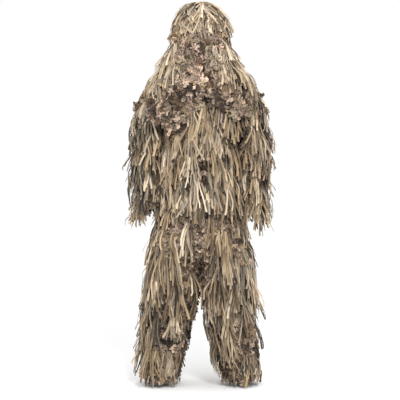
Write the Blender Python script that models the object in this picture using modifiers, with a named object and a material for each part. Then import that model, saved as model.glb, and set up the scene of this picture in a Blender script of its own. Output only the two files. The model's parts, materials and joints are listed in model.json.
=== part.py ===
"""A two-piece ghillie suit as it stands when worn: trousers, jacket and hood with a face veil.

Blender 4.5, metres, +Z up. The suit faces -Y, and its left side is at +X.
Heights below are above the ground under the wearer's feet. The root empty lowers everything by
WAIST_HEIGHT, so that the row's origin is the centre of the waistband, where the wearer holds the suit up.
"""

import math

import bmesh
import bpy
from mathutils import Vector

# ---------------------------------------------------------------- driving dimensions, in metres
WAIST_HEIGHT = 1.03      # the origin, at the middle of the waistband
CLOTH = 0.004            # base cloth with its mesh lining
GAP = 0.0005             # between pieces that are sewn or rest together
SEAM = 0.0010            # from a seam's line to the edge of each panel
STRIP_ROOT = (0.003, 0.003)      # from the cloth out to the inside of a layer of strips
BAND = 0.002             # folded cloth of an elastic casing

TORSO_RX, TORSO_RY = 0.168, 0.135
TORSO_BOTTOM, YOKE, TORSO_TOP = 0.906, 1.440, 1.497
NECK_R = 0.088
COLLAR_TOP = 1.545
SIDE_SEAM = 90.0         # degrees round from the front

ZIP_OPENING = 0.0135     # from the middle to the edge of each front panel
ZIP_TAPE = (0.0033, 0.0128)      # from the middle to the two edges of each tape
ZIP_TEETH = (0.0003, 0.0030)     # from the middle to the two sides of each row of teeth
TAPE_THICK, TEETH_THICK = 0.0015, 0.0030
SLIDER_HALF, SLIDER_LONG, SLIDER_THICK = 0.0055, 0.0140, 0.0028
BRIDGE_HALF, BRIDGE_OUT = 0.0015, 0.0075
PIN_R, PIN_OUT, PIN_DOWN = 0.0014, 0.0050, 0.0065    # the bridge's window, from the front and from the top
PULL_HALF, PULL_THICK, PULL_LONG = 0.0045, 0.0012, 0.0400
LOOP_HALF, LOOP_THICK = 0.030, 0.002
LOOP_FACE, LOOP_SEAM = 0.0710, 0.0770                # distances behind the middle of the neck
LOOP_BOTTOM, LOOP_TOP = 1.514, 1.522

SHOULDER_X, SHOULDER_Z = 0.2335, 1.420
SLEEVE_R = 0.058         # the sleeves stay outside x = 0.1755, and the jacket's body inside 0.1715
ELBOW_X, ELBOW_Z, ELBOW_R = 0.2405, 1.160, 0.054
WRIST_X, WRIST_Z, WRIST_R = 0.2345, 0.930, 0.0455
CUFF_BOTTOM = 0.895
ARMHOLE_R, ARMHOLE_Z = 0.042, 1.395

HIP_Z = 0.800
HIP_RX, HIP_RY, THIGH_RY = 0.190, 0.150, 0.132
SEAT_TOP, HEM_LEVEL = 1.008, 0.885
LEG_SPLIT_X = 0.0035     # the trouser legs' inner sides keep this far from the middle
KNEE_X, KNEE_Z, KNEE_RX, KNEE_RY = 0.140, 0.500, 0.088, 0.105
ANKLE_X, ANKLE_Z, ANKLE_RX, ANKLE_RY = 0.187, 0.125, 0.066, 0.080
ANKLE_BOTTOM = 0.085

HOOD_Y = 0.005
HOOD_BOTTOM, BROW, CROWN = 1.552, 1.680, 1.800
FACE_HALF_WIDTH = 0.074

ELBOW_NOTCH = math.tan(math.radians(41))     # half of the bend, on the inside of each joint
KNEE_NOTCH = math.tan(math.radians(31))
HIP_NOTCH = math.tan(math.radians(10.5))

ROUND_STEPS = 24
COLLECTION = "ghillie_suit"

# name: (red, green, blue, roughness, metallic)
MATERIALS = {
    "camo_cloth": (0.26, 0.19, 0.12, 0.9, 0.0),
    "cloth_strip": (0.46, 0.38, 0.26, 0.9, 0.0),
    "leaf_net": (0.38, 0.28, 0.19, 0.9, 0.0),
    "elastic": (0.06, 0.06, 0.05, 0.8, 0.0),
    "zip_tape": (0.10, 0.08, 0.06, 0.85, 0.0),
    "zip_metal": (0.16, 0.13, 0.09, 0.4, 0.9),
    "webbing": (0.14, 0.12, 0.08, 0.85, 0.0),
}


# ---------------------------------------------------------------- scene helpers
def clear_scene():
    for old in list(bpy.data.objects):
        bpy.data.objects.remove(old, do_unlink=True)


def new_collection(name):
    made = bpy.data.collections.new(name)
    bpy.context.scene.collection.children.link(made)
    return made


def make_materials():
    made = {}
    for name, (red, green, blue, roughness, metallic) in MATERIALS.items():
        material = bpy.data.materials.new(name)
        material.use_nodes = True
        shader = material.node_tree.nodes["Principled BSDF"]
        shader.inputs["Base Color"].default_value = (red, green, blue, 1.0)
        shader.inputs["Roughness"].default_value = roughness
        shader.inputs["Metallic"].default_value = metallic
        made[name] = material
    return made


def place(name, mesh, material, smooth=True):
    """Links a mesh as a named piece of the suit, under the root empty."""
    mesh.name = name
    mesh.materials.append(materials[material])
    if smooth:
        mesh.shade_smooth()
        mesh.set_sharp_from_angle(angle=math.radians(40))
    piece = bpy.data.objects.new(name, mesh)
    piece.parent = root
    pieces.objects.link(piece)
    return piece


def cutter(name, piece):
    """Turns a piece into a hidden cutter."""
    piece.name = name
    piece.hide_render = True
    piece.display_type = "WIRE"
    for owner in list(piece.users_collection):
        owner.objects.unlink(piece)
    cutters.objects.link(piece)
    return piece


def cut(piece, tool):
    modifier = piece.modifiers.new("cut_" + tool.name, "BOOLEAN")
    modifier.operation = "DIFFERENCE"
    modifier.solver = "EXACT"
    modifier.object = tool


# ---------------------------------------------------------------- lofted cloth
def ring(section, angles, rise=(0.0, 0.0)):
    """The points of one elliptical section (height, centre x, centre y, half width, half depth).

    Angle 0 is the front and 90 the suit's left. rise lifts the points in front of the X axis through
    the origin by its first slope, and those behind it by its second.
    """
    height, x, y, rx, ry = section
    points = []
    for angle in angles:
        turn = math.radians(angle)
        px = x + rx * math.sin(turn)
        py = y - ry * math.cos(turn)
        points.append(Vector((px, py, height + rise[0] * max(0.0, -py) + rise[1] * max(0.0, py))))
    return points


def spread_angles(arc, steps):
    """Angles round a whole tube, or along an arc from its first to its second angle."""
    if arc is None:
        return [360.0 * i / steps for i in range(steps)]
    return [arc[0] + (arc[1] - arc[0]) * i / steps for i in range(steps + 1)]


def add_grid(mesh, rows, wraps, flip=False):
    """Joins rows of vertices with quads. Rows run from top to bottom, and each runs round from the front."""
    faces = []
    count = len(rows[0])
    for upper, lower in zip(rows, rows[1:]):
        for i in range(count if wraps else count - 1):
            j = (i + 1) % count
            corners = (upper[i], lower[i], lower[j], upper[j])
            faces.append(mesh.faces.new(corners[::-1] if flip else corners))
    return faces


def rows_of(mesh, sections, angles, top_rise, bottom_rise):
    """The vertices of every section, with only the first and the last one notched."""
    rows = []
    for i, section in enumerate(sections):
        rise = top_rise if i == 0 else bottom_rise if i == len(sections) - 1 else (0.0, 0.0)
        rows.append([mesh.verts.new(p) for p in ring(section, angles, rise)])
    return rows


def finish_mesh(mesh):
    """Merges the points of a pole, turns the faces outwards, and returns the mesh data."""
    bmesh.ops.remove_doubles(mesh, verts=mesh.verts, dist=1e-5)
    bmesh.ops.recalc_face_normals(mesh, faces=mesh.faces)
    data = bpy.data.meshes.new("cloth")
    mesh.to_mesh(data)
    mesh.free()
    return data


def skin(name, sections, material, arc=None, steps=16, top_rise=(0, 0), bottom_rise=(0, 0), thick=CLOTH):
    """Cloth of even thickness: an open surface through the sections, top first, thickened inwards."""
    mesh = bmesh.new()
    rows = rows_of(mesh, sections, spread_angles(arc, steps), top_rise, bottom_rise)
    faces = add_grid(mesh, rows, arc is None)
    bmesh.ops.remove_doubles(mesh, verts=mesh.verts, dist=1e-5)
    data = bpy.data.meshes.new("cloth")
    mesh.to_mesh(data)
    mesh.free()
    piece = place(name, data, material)
    solidify = piece.modifiers.new("thickness", "SOLIDIFY")
    solidify.thickness = thick
    solidify.offset = -1.0
    solidify.use_even_offset = True
    return piece


def layer(name, outer, inner, material, arc=None, steps=14, top_rise=(0, 0), bottom_rise=(0, 0)):
    """The room of a layer of strips: a closed loft between an outer and an inner surface, top first."""
    mesh = bmesh.new()
    angles = spread_angles(arc, steps)
    wraps = arc is None
    outside = rows_of(mesh, outer, angles, top_rise, bottom_rise)
    inside = rows_of(mesh, inner, angles, top_rise, bottom_rise)
    add_grid(mesh, outside, wraps)
    add_grid(mesh, inside, wraps, flip=True)
    add_grid(mesh, [inside[0], outside[0]], wraps)
    add_grid(mesh, [outside[-1], inside[-1]], wraps)
    if not wraps:
        add_grid(mesh, [[row[0] for row in inside], [row[0] for row in outside]], False)
        add_grid(mesh, [[row[-1] for row in outside], [row[-1] for row in inside]], False)
    return place(name, finish_mesh(mesh), material)


def grown(sections, *growths):
    """Sections made wider: each growth is (sideways, fore and aft) for one section."""
    return [(z, x, y, rx + dx, ry + dy) for (z, x, y, rx, ry), (dx, dy) in zip(sections, growths)]


def mirrored(sections):
    return [(z, -x, y, rx, ry) for z, x, y, rx, ry in sections]


def side_sections(sections, side):
    """The left side's sections, or their mirror image for the right side."""
    return sections if side == "left" else mirrored(sections)


def side_arc(arc, side):
    return arc if side == "left" or arc is None else (-arc[1], -arc[0])


# ---------------------------------------------------------------- turned bands
def turned(name, profile, centre, depth_share, material, steps=ROUND_STEPS):
    """A closed profile of (radius, height) turned about the vertical through centre (x, y)."""
    mesh = bmesh.new()
    loop = [mesh.verts.new((radius, 0.0, height)) for radius, height in profile]
    for i, corner in enumerate(loop):
        mesh.edges.new((corner, loop[(i + 1) % len(loop)]))
    data = bpy.data.meshes.new(name)
    mesh.to_mesh(data)
    mesh.free()
    piece = place(name, data, material, smooth=False)
    piece.location = (centre[0], centre[1], 0.0)
    piece.scale = (1.0, depth_share, 1.0)
    screw = piece.modifiers.new("turn", "SCREW")
    screw.steps = steps
    screw.render_steps = steps
    screw.use_merge_vertices = True
    screw.merge_threshold = 0.0001
    screw.use_smooth_shade = True
    return piece


def band_with_elastic(name, centre, radius, depth_share, bottom, top, wide=0.010):
    """A folded casing, open along its lower edge, and the elastic ring inside it."""
    inner = radius - wide
    casing = [
        (radius, top), (radius, bottom), (radius - BAND, bottom), (radius - BAND, top - BAND),
        (inner + BAND, top - BAND), (inner + BAND, bottom), (inner, bottom), (inner, top),
    ]
    turned(name + "_band", casing, centre, depth_share, "camo_cloth")
    outer, slack = radius - BAND - GAP, 0.003
    high, low = top - BAND - GAP, bottom + slack
    inside = inner + BAND + GAP
    ring_profile = [(outer, high), (outer, low), (inside, low), (inside, high)]
    turned(name + "_elastic", ring_profile, centre, depth_share, "elastic")


# ---------------------------------------------------------------- boxes and small hardware
def box(name, low, high, material):
    """A block between two corners."""
    low, high = Vector(low), Vector(high)
    bpy.ops.mesh.primitive_cube_add(size=1.0)
    cube = bpy.context.active_object
    data = cube.data
    bpy.data.objects.remove(cube)
    size, middle = high - low, (low + high) / 2
    for vertex in data.vertices:
        vertex.co = Vector(a * b for a, b in zip(vertex.co, size)) + middle
    return place(name, data, material, smooth=False)


def join(piece, tool):
    """Adds another solid to a piece, which stays one body."""
    modifier = piece.modifiers.new("join_" + tool.name, "BOOLEAN")
    modifier.operation = "UNION"
    modifier.solver = "EXACT"
    modifier.object = tool


def rod(name, start, end, radius, material, sides=16):
    """A cylinder between two points."""
    start, end = Vector(start), Vector(end)
    bpy.ops.mesh.primitive_cylinder_add(vertices=sides, radius=radius, depth=(end - start).length)
    made = bpy.context.active_object
    data = made.data
    bpy.data.objects.remove(made)
    turn = (end - start).to_track_quat("Z", "Y").to_matrix().to_4x4()
    data.transform(turn)
    piece = place(name, data, material)
    piece.location = (start + end) / 2
    return piece


# ---------------------------------------------------------------- trousers
def make_trousers():
    waist = [
        (SEAT_TOP, 0, 0, 0.150, 0.120), (0.960, 0, 0, 0.153, 0.122), (0.874, 0, 0, 0.155, 0.124),
        (0.843, 0, 0, 0.178, 0.143), (HIP_Z + 0.001, 0, 0, HIP_RX, HIP_RY),
    ]
    skin("trouser_seat", waist, "camo_cloth", steps=24, bottom_rise=(HIP_NOTCH, HIP_NOTCH))
    band_with_elastic("waist", (0, 0), 0.150, 0.8, SEAT_TOP + GAP, WAIST_HEIGHT + 0.020)
    for side in ("left", "right"):
        make_leg(side)


def make_leg(side):
    top_rx = (HIP_RX - LEG_SPLIT_X) / 2
    thigh = [
        (HIP_Z - 0.001, LEG_SPLIT_X + top_rx, 0, top_rx, THIGH_RY),
        (0.700, 0.115, 0, 0.100, 0.126), (0.600, 0.129, 0, 0.098, 0.118),
        (KNEE_Z + 0.001, KNEE_X, 0, KNEE_RX, KNEE_RY),
    ]
    shin = [
        (KNEE_Z - 0.001, KNEE_X + 0.001, 0, KNEE_RX, KNEE_RY), (0.350, 0.158, 0, 0.080, 0.096),
        (0.210, 0.175, 0, 0.074, 0.088), (ANKLE_Z, ANKLE_X, 0, ANKLE_RX, ANKLE_RY),
    ]
    skin("thigh_" + side, side_sections(thigh, side), "camo_cloth", steps=20,
         top_rise=(-HIP_NOTCH, -HIP_NOTCH), bottom_rise=(0, KNEE_NOTCH))
    skin("shin_" + side, side_sections(shin, side), "camo_cloth", steps=20, top_rise=(0, -KNEE_NOTCH))
    ankle_x = ANKLE_X + 0.002 if side == "left" else -ANKLE_X - 0.002
    share = ANKLE_RY / ANKLE_RX
    band_with_elastic("ankle_" + side, (ankle_x, 0), ANKLE_RX, share, ANKLE_BOTTOM, ANKLE_Z - GAP)
    make_leg_strips(side)


def make_leg_strips(side):
    """The room of the strips sewn over the thigh and over the shin, open on the leg's inner side."""
    thigh_room = [
        (0.755, 0.105, 0, 0.098, 0.131), (0.700, 0.115, 0, 0.100, 0.126),
        (0.600, 0.129, 0, 0.098, 0.118), (0.520, 0.138, 0, 0.090, 0.108),
    ]
    thigh_out = grown(thigh_room, (0.015, 0.015), (0.026, 0.028), (0.036, 0.040), (0.042, 0.050))
    thigh_in = grown(thigh_room, *[STRIP_ROOT] * 3, (0.008, 0.016))
    layer("thigh_strips_" + side, side_sections(thigh_out, side), side_sections(thigh_in, side),
          "cloth_strip", arc=side_arc((-40, 220), side), top_rise=(-HIP_NOTCH, -HIP_NOTCH),
          bottom_rise=(0, KNEE_NOTCH))
    shin_room = [
        (0.480, 0.143, 0, 0.087, 0.103), (0.350, 0.158, 0, 0.080, 0.096),
        (0.210, 0.175, 0, 0.074, 0.088), (ANKLE_BOTTOM - 0.005, 0.190, 0, 0.067, 0.081),
    ]
    shin_out = grown(shin_room, (0.020, 0.020), (0.035, 0.035), (0.045, 0.050), (0.032, 0.060))
    shin_in = grown(shin_room, *[STRIP_ROOT] * 4)
    layer("shin_strips_" + side, side_sections(shin_out, side), side_sections(shin_in, side),
          "cloth_strip", arc=side_arc((-75, 255), side), top_rise=(0, -KNEE_NOTCH))


# ---------------------------------------------------------------- jacket
def make_jacket():
    torso = [
        (TORSO_TOP, 0, 0, NECK_R, NECK_R), (1.475, 0, 0, 0.148, 0.124), (YOKE, 0, 0, TORSO_RX, TORSO_RY),
        (1.300, 0, 0, TORSO_RX, TORSO_RY), (1.100, 0, 0, TORSO_RX, TORSO_RY),
        (TORSO_BOTTOM, 0, 0, TORSO_RX, TORSO_RY),
    ]
    zip_edge = math.degrees(math.asin(ZIP_OPENING / TORSO_RX))
    seam = math.degrees(SEAM / TORSO_RY)
    through = rod("armhole", (-SHOULDER_X, 0, ARMHOLE_Z), (SHOULDER_X, 0, ARMHOLE_Z), ARMHOLE_R,
                  "camo_cloth", sides=20)
    armholes = cutter("armhole_cutter", through)
    panels = (
        skin("jacket_front_left", torso, "camo_cloth", arc=(zip_edge, SIDE_SEAM - seam), steps=9),
        skin("jacket_front_right", torso, "camo_cloth", arc=(-SIDE_SEAM + seam, -zip_edge), steps=9),
        skin("jacket_back", torso, "camo_cloth", arc=(SIDE_SEAM + seam, 360 - SIDE_SEAM - seam), steps=18),
    )
    for panel in panels:
        cut(panel, armholes)
    share = TORSO_RY / TORSO_RX
    band_with_elastic("jacket_hem", (0, 0), TORSO_RX, share, TORSO_BOTTOM - 0.028, TORSO_BOTTOM - GAP)
    collar = [
        (NECK_R, COLLAR_TOP), (NECK_R, TORSO_TOP + GAP), (NECK_R - CLOTH, TORSO_TOP + GAP),
        (NECK_R - CLOTH, COLLAR_TOP),
    ]
    turned("collar", collar, (0, 0), 1.0, "camo_cloth")
    make_hang_loop()
    make_zip()
    make_jacket_strips()
    for side in ("left", "right"):
        make_sleeve(side, armholes)


def make_hang_loop():
    """A webbing loop inside the back of the collar."""
    loop = box("hang_loop", (-LOOP_HALF, LOOP_FACE, LOOP_BOTTOM),
               (LOOP_HALF, LOOP_FACE + LOOP_THICK, LOOP_TOP), "webbing")
    for side, x in (("left", LOOP_HALF - LOOP_THICK), ("right", LOOP_THICK - LOOP_HALF)):
        near = (x - LOOP_THICK, LOOP_FACE + LOOP_THICK / 2, LOOP_BOTTOM)
        end = box("loop_end", near, (x + LOOP_THICK, LOOP_SEAM, LOOP_TOP), "webbing")
        join(loop, cutter("loop_end_" + side, end))


def make_zip():
    """Two tapes with their rows of teeth, a stop, and a slider with its pull tab."""
    bottom, top = TORSO_BOTTOM + 0.002, YOKE - 0.004
    front = -TORSO_RY
    for side, sign in (("left", 1), ("right", -1)):
        low, high = sorted(sign * edge for edge in ZIP_TAPE)
        tape_front = front + 0.0010
        box("zip_tape_" + side, (low, tape_front, bottom), (high, tape_front + TAPE_THICK, top), "zip_tape")
        low, high = sorted(sign * edge for edge in ZIP_TEETH)
        box("zip_teeth_" + side, (low, front, bottom), (high, front + TEETH_THICK, top), "zip_metal")
    box("zip_stop", (-0.004, front - TEETH_THICK, bottom), (0.004, front - GAP, bottom + 0.010), "zip_metal")
    make_slider(front, top - 0.004)


def make_slider(front, top):
    """The slider with its bridge, and the pull tab whose top bar runs through the bridge's window."""
    pin_y, pin_z = front - PIN_OUT, top - PIN_DOWN
    slider = box("zip_slider", (-SLIDER_HALF, front - SLIDER_THICK, top - SLIDER_LONG),
                 (SLIDER_HALF, front - GAP, top), "zip_metal")
    bridge = box("bridge", (-BRIDGE_HALF, front - BRIDGE_OUT, top - 0.011),
                 (BRIDGE_HALF, front - 0.0020, top - 0.002), "zip_metal")
    join(slider, cutter("slider_bridge", bridge))
    window = rod("window", (-0.01, pin_y, pin_z), (0.01, pin_y, pin_z), PIN_R, "zip_metal", sides=12)
    cut(slider, cutter("slider_window", window))
    pull = box("zip_pull", (-PULL_HALF, pin_y - PULL_THICK / 2, top - PULL_LONG),
               (PULL_HALF, pin_y + PULL_THICK / 2, pin_z + 0.001), "zip_metal")
    slot = box("slot", (-0.0020, pin_y - 0.004, top - 0.0125), (0.0020, pin_y + 0.004, pin_z - 0.0009),
               "zip_metal")
    cut(pull, cutter("pull_slot", slot))
    hole = box("hole", (-0.0022, pin_y - 0.004, top - 0.037), (0.0022, pin_y + 0.004, top - 0.027),
               "zip_metal")
    cut(pull, cutter("pull_hole", hole))


def make_jacket_strips():
    plane = TORSO_RX + 0.003
    mantle_out = [(1.527, 0, 0, 0.150, 0.165), (1.470, 0, 0, plane, 0.178), (1.400, 0, 0, plane, 0.186),
                  (1.330, 0, 0, plane, 0.192)]
    mantle_in = [(1.527, 0, 0, 0.125, 0.140), (1.470, 0, 0, 0.160, 0.150), (1.400, 0, 0, 0.169, 0.151),
                 (1.330, 0, 0, 0.169, 0.151)]
    layer("mantle_front_left", mantle_out, mantle_in, "leaf_net", arc=(7, 62), steps=6)
    layer("mantle_front_right", mantle_out, mantle_in, "leaf_net", arc=(-62, -7), steps=6)
    low_out, low_in = [(1.500, 0, 0, 0.160, 0.172)], [(1.500, 0, 0, 0.143, 0.146)]
    layer("mantle_back", low_out + mantle_out[1:], low_in + mantle_in[1:], "leaf_net",
          arc=(118, 242), steps=12)

    def room(top, bottom, out_top, out_bottom):
        outer = [(top, 0, 0, plane, out_top), (bottom, 0, 0, plane, out_bottom)]
        inner = [(z, 0, 0, TORSO_RX + 0.0005, TORSO_RY + 0.003) for z in (top, bottom)]
        return outer, inner

    for name, top, bottom, out_top, out_bottom in (
        ("upper", 1.328, 1.120, 0.160, 0.190), ("lower", 1.118, 0.889, 0.160, 0.190),
    ):
        outer, inner = room(top, bottom, out_top, out_bottom)
        layer(f"front_{name}_strips_left", outer, inner, "cloth_strip", arc=(7, 66), steps=7)
        layer(f"front_{name}_strips_right", outer, inner, "cloth_strip", arc=(-66, -7), steps=7)
        layer(f"back_{name}_strips", outer, inner, "cloth_strip", arc=(114, 246), steps=14)
    hem_out = [(0.887, 0, 0, 0.180, 0.172), (0.872, 0, 0, 0.192, 0.180), (0.812, 0, 0, 0.224, 0.206)]
    hem_in = [(0.887, 0, 0, 0.1712, 0.142), (0.872, 0, 0, 0.185, 0.156), (0.812, 0, 0, 0.206, 0.186)]
    for name, arc in (("front_left", (1, 86)), ("front_right", (-86, -1)), ("back", (94, 266))):
        layer("hem_strips_" + name, hem_out, hem_in, "cloth_strip", arc=arc, steps=10)


def make_sleeve(side, armholes):
    upper = [
        (1.478, SHOULDER_X, 0, 0, 0), (1.471, SHOULDER_X, 0, 0.027, 0.027),
        (1.453, SHOULDER_X, 0, 0.047, 0.047), (SHOULDER_Z, SHOULDER_X, 0, SLEEVE_R, SLEEVE_R),
        (1.300, 0.2355, 0, 0.058, 0.058), (ELBOW_Z + 0.001, ELBOW_X, 0, ELBOW_R, ELBOW_R),
    ]
    forearm = [
        (ELBOW_Z - 0.001, ELBOW_X, 0, ELBOW_R, ELBOW_R), (1.045, 0.238, 0, 0.050, 0.050),
        (WRIST_Z, WRIST_X, 0, WRIST_R, WRIST_R),
    ]
    sleeve = skin("sleeve_upper_" + side, side_sections(upper, side), "camo_cloth",
                  bottom_rise=(ELBOW_NOTCH, 0))
    cut(sleeve, armholes)
    skin("sleeve_lower_" + side, side_sections(forearm, side), "camo_cloth", top_rise=(-ELBOW_NOTCH, 0))
    wrist_x = WRIST_X if side == "left" else -WRIST_X
    band_with_elastic("cuff_" + side, (wrist_x, 0), WRIST_R - 0.001, 1.0, CUFF_BOTTOM, WRIST_Z - GAP)
    make_sleeve_strips(side, upper)


def make_sleeve_strips(side, upper):
    """The leaf net over the shoulder, and the room of the strips down the sleeve and past the cuff."""
    cap = [*upper[:4], (1.372, 0.2343, 0, 0.058, 0.058)]
    cap_out = [(1.508, SHOULDER_X, 0, 0, 0), (1.500, SHOULDER_X, 0, 0.036, 0.040),
               (1.472, SHOULDER_X, 0, 0.062, 0.072), (1.425, SHOULDER_X, 0, 0.074, 0.090),
               (1.372, 0.2343, 0, 0.080, 0.092)]
    cap_in = [(1.4815, SHOULDER_X, 0, 0, 0)] + grown(cap[1:], *[(0.004, 0.004)] * 4)
    layer("shoulder_leaves_" + side, side_sections(cap_out, side), side_sections(cap_in, side), "leaf_net",
          arc=side_arc((-40, 220), side), steps=12)

    def strips(name, rooms, growths, arc, **rises):
        outer = side_sections(grown(rooms, *growths), side)
        inner = side_sections(grown(rooms, *[STRIP_ROOT] * len(rooms)), side)
        layer(f"{name}_{side}", outer, inner, "cloth_strip", arc=side_arc(arc, side), steps=12, **rises)

    strips("sleeve_upper_strips", [(1.370, 0.2345, 0, 0.060, 0.060), (1.175, ELBOW_X, 0, 0.056, 0.056)],
           [(0.016, 0.018), (0.042, 0.034)], (-28, 208), bottom_rise=(ELBOW_NOTCH, 0))
    strips("sleeve_lower_strips", [(1.145, ELBOW_X, 0, 0.054, 0.054), (0.932, WRIST_X, 0, 0.046, 0.046)],
           [(0.020, 0.016), (0.066, 0.050)], (-28, 208), top_rise=(-ELBOW_NOTCH, 0))
    strips("cuff_strips", [(0.930, WRIST_X, 0, 0.052, 0.052), (0.720, 0.246, 0, 0.062, 0.052)],
           [(0.060, 0.044), (0.046, 0.026)], (42, 138))


# ---------------------------------------------------------------- hood
def make_hood():
    shell = [
        (CROWN, 0, HOOD_Y, 0, 0), (1.793, 0, HOOD_Y, 0.040, 0.050), (1.768, 0, HOOD_Y, 0.072, 0.088),
        (1.725, 0, HOOD_Y, 0.096, 0.114), (1.660, 0, HOOD_Y, 0.108, 0.127), (1.600, 0, HOOD_Y, 0.111, 0.127),
        (HOOD_BOTTOM, 0, HOOD_Y, 0.108, 0.118),
    ]
    hood = skin("hood_shell", shell, "camo_cloth", steps=20)
    face = cutter("face_cutter", box("face", (-FACE_HALF_WIDTH, -0.2, HOOD_BOTTOM + 0.018),
                                     (FACE_HALF_WIDTH, 0.0, BROW - 0.012), "camo_cloth"))
    cut(hood, face)

    room_in = [(CROWN + 0.004, 0, HOOD_Y, 0, 0)] + grown(shell[1:], *[(0.004, 0.004)] * 6)
    room_out = [
        (1.872, 0, HOOD_Y, 0, 0), (1.860, 0, HOOD_Y, 0.060, 0.070), (1.824, 0, HOOD_Y, 0.106, 0.122),
        (1.762, 0, HOOD_Y, 0.137, 0.152), (1.680, 0, HOOD_Y, 0.146, 0.162), (1.600, 0, HOOD_Y, 0.180, 0.168),
        (1.535, 0, HOOD_Y, 0.208, 0.170),
    ]
    crown = layer("hood_strips", room_out, room_in, "cloth_strip", steps=20)
    veil_room = cutter("veil_cutter", box("veil_room", (-0.128, -0.3, 1.4), (0.128, -0.030, BROW + 0.003),
                                          "leaf_net"))
    cut(crown, veil_room)
    veil_out = [(BROW, 0, HOOD_Y, 0.145, 0.168), (1.600, 0, HOOD_Y, 0.158, 0.182),
                (1.530, 0, HOOD_Y, 0.172, 0.202), (1.465, 0, HOOD_Y, 0.186, 0.220)]
    veil_in = [(BROW, 0, HOOD_Y, 0.130, 0.145), (1.600, 0, HOOD_Y, 0.135, 0.152),
               (1.530, 0, HOOD_Y, 0.160, 0.184), (1.465, 0, HOOD_Y, 0.174, 0.206)]
    layer("face_veil", veil_out, veil_in, "leaf_net", arc=(-45, 45), steps=10)


clear_scene()
pieces = new_collection(COLLECTION)
cutters = new_collection("cutters")
materials = make_materials()
root = bpy.data.objects.new("suit_origin", None)
root.location = (0.0, 0.0, -WAIST_HEIGHT)
pieces.objects.link(root)
make_trousers()
make_jacket()
make_hood()
bpy.context.view_layer.update()
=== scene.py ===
"""The look of the ghillie suit: camouflage cloth under leaf-cut net and tufts of cloth strips.

Everything is in metres in the row frame: +Z up, -Y the front, +X the wearer's left. Heights in
tables and calls are above the ground that the wearer stands on, and angles are in degrees from the
front, towards +X. Ranges are pairs.
"""

import json
import math

import bpy
import numpy as np
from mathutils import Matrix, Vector


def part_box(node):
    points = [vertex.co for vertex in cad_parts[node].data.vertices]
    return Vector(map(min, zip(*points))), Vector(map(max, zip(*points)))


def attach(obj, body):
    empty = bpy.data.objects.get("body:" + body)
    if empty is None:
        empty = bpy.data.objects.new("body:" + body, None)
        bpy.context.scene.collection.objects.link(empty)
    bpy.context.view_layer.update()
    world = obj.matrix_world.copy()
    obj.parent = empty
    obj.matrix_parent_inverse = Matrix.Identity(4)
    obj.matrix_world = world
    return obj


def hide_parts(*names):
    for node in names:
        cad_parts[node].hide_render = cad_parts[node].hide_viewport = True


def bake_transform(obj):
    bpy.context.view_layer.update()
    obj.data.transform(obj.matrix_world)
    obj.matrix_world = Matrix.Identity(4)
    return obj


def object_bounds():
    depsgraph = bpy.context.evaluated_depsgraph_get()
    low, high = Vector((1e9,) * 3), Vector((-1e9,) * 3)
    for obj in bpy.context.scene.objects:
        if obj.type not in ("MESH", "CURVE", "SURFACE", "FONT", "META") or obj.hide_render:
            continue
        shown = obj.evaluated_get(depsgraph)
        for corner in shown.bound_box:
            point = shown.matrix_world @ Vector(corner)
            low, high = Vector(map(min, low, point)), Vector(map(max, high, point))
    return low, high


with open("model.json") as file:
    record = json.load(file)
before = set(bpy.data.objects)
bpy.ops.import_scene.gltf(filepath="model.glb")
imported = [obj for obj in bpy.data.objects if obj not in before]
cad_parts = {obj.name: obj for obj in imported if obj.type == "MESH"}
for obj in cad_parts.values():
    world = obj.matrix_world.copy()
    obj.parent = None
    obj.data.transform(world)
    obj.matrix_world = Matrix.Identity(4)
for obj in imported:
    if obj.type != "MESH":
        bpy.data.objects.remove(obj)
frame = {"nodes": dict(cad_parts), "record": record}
CAD_BOX = [list(map(float, corner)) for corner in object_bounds()]
WAIST = 1.03                      # the row's origin above the ground
FLOOR = CAD_BOX[0][2] - 0.020
LOWEST = CAD_BOX[0][2] - 0.022    # no strip hangs lower
DOWN = np.array([0.0, 0.0, -1.0])
SIDES = {"left": 1, "right": -1}  # the sign of x on the wearer's sides
ALL_ROUND = (-180, 180)
rng = np.random.default_rng(41)

# Colours of dry grass and bark, as sRGB, and mixes of them as (colour, weight).
PALE, STRAW, KHAKI = (0.91, 0.84, 0.74), (0.80, 0.71, 0.58), (0.69, 0.60, 0.47)
TAN, BROWN, BARK = (0.58, 0.48, 0.36), (0.43, 0.34, 0.25), (0.27, 0.21, 0.16)
SLATE, PINK = (0.23, 0.25, 0.23), (0.79, 0.69, 0.61)
UMBER, DUN = (0.43, 0.34, 0.28), (0.64, 0.58, 0.49)
HOOD_MIX = ((PALE, 9), (STRAW, 6), (KHAKI, 3.5), (TAN, 2.2), (BROWN, 2), (BARK, 2))
DRY_MIX = ((PALE, 6), (STRAW, 5.5), (KHAKI, 5), (TAN, 4), (BROWN, 2.8), (BARK, 3), (SLATE, 2))
DUSK_MIX = ((PALE, 4), (STRAW, 4), (KHAKI, 4.5), (TAN, 4), (BROWN, 3), (BARK, 3), (SLATE, 3))
LEG_MIX = ((PALE, 4), (STRAW, 5), (KHAKI, 5.5), (TAN, 4.5), (BROWN, 3), (BARK, 3), (SLATE, 2.2))
LEAF_TONES = (PINK, KHAKI, PINK, DUN, BROWN, PINK, BARK)    # in the order of the noise
PRINT_STOPS = ((0.0, BARK), (0.40, BROWN), (0.46, TAN), (0.54, KHAKI), (0.62, BROWN), (0.70, UMBER))

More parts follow.
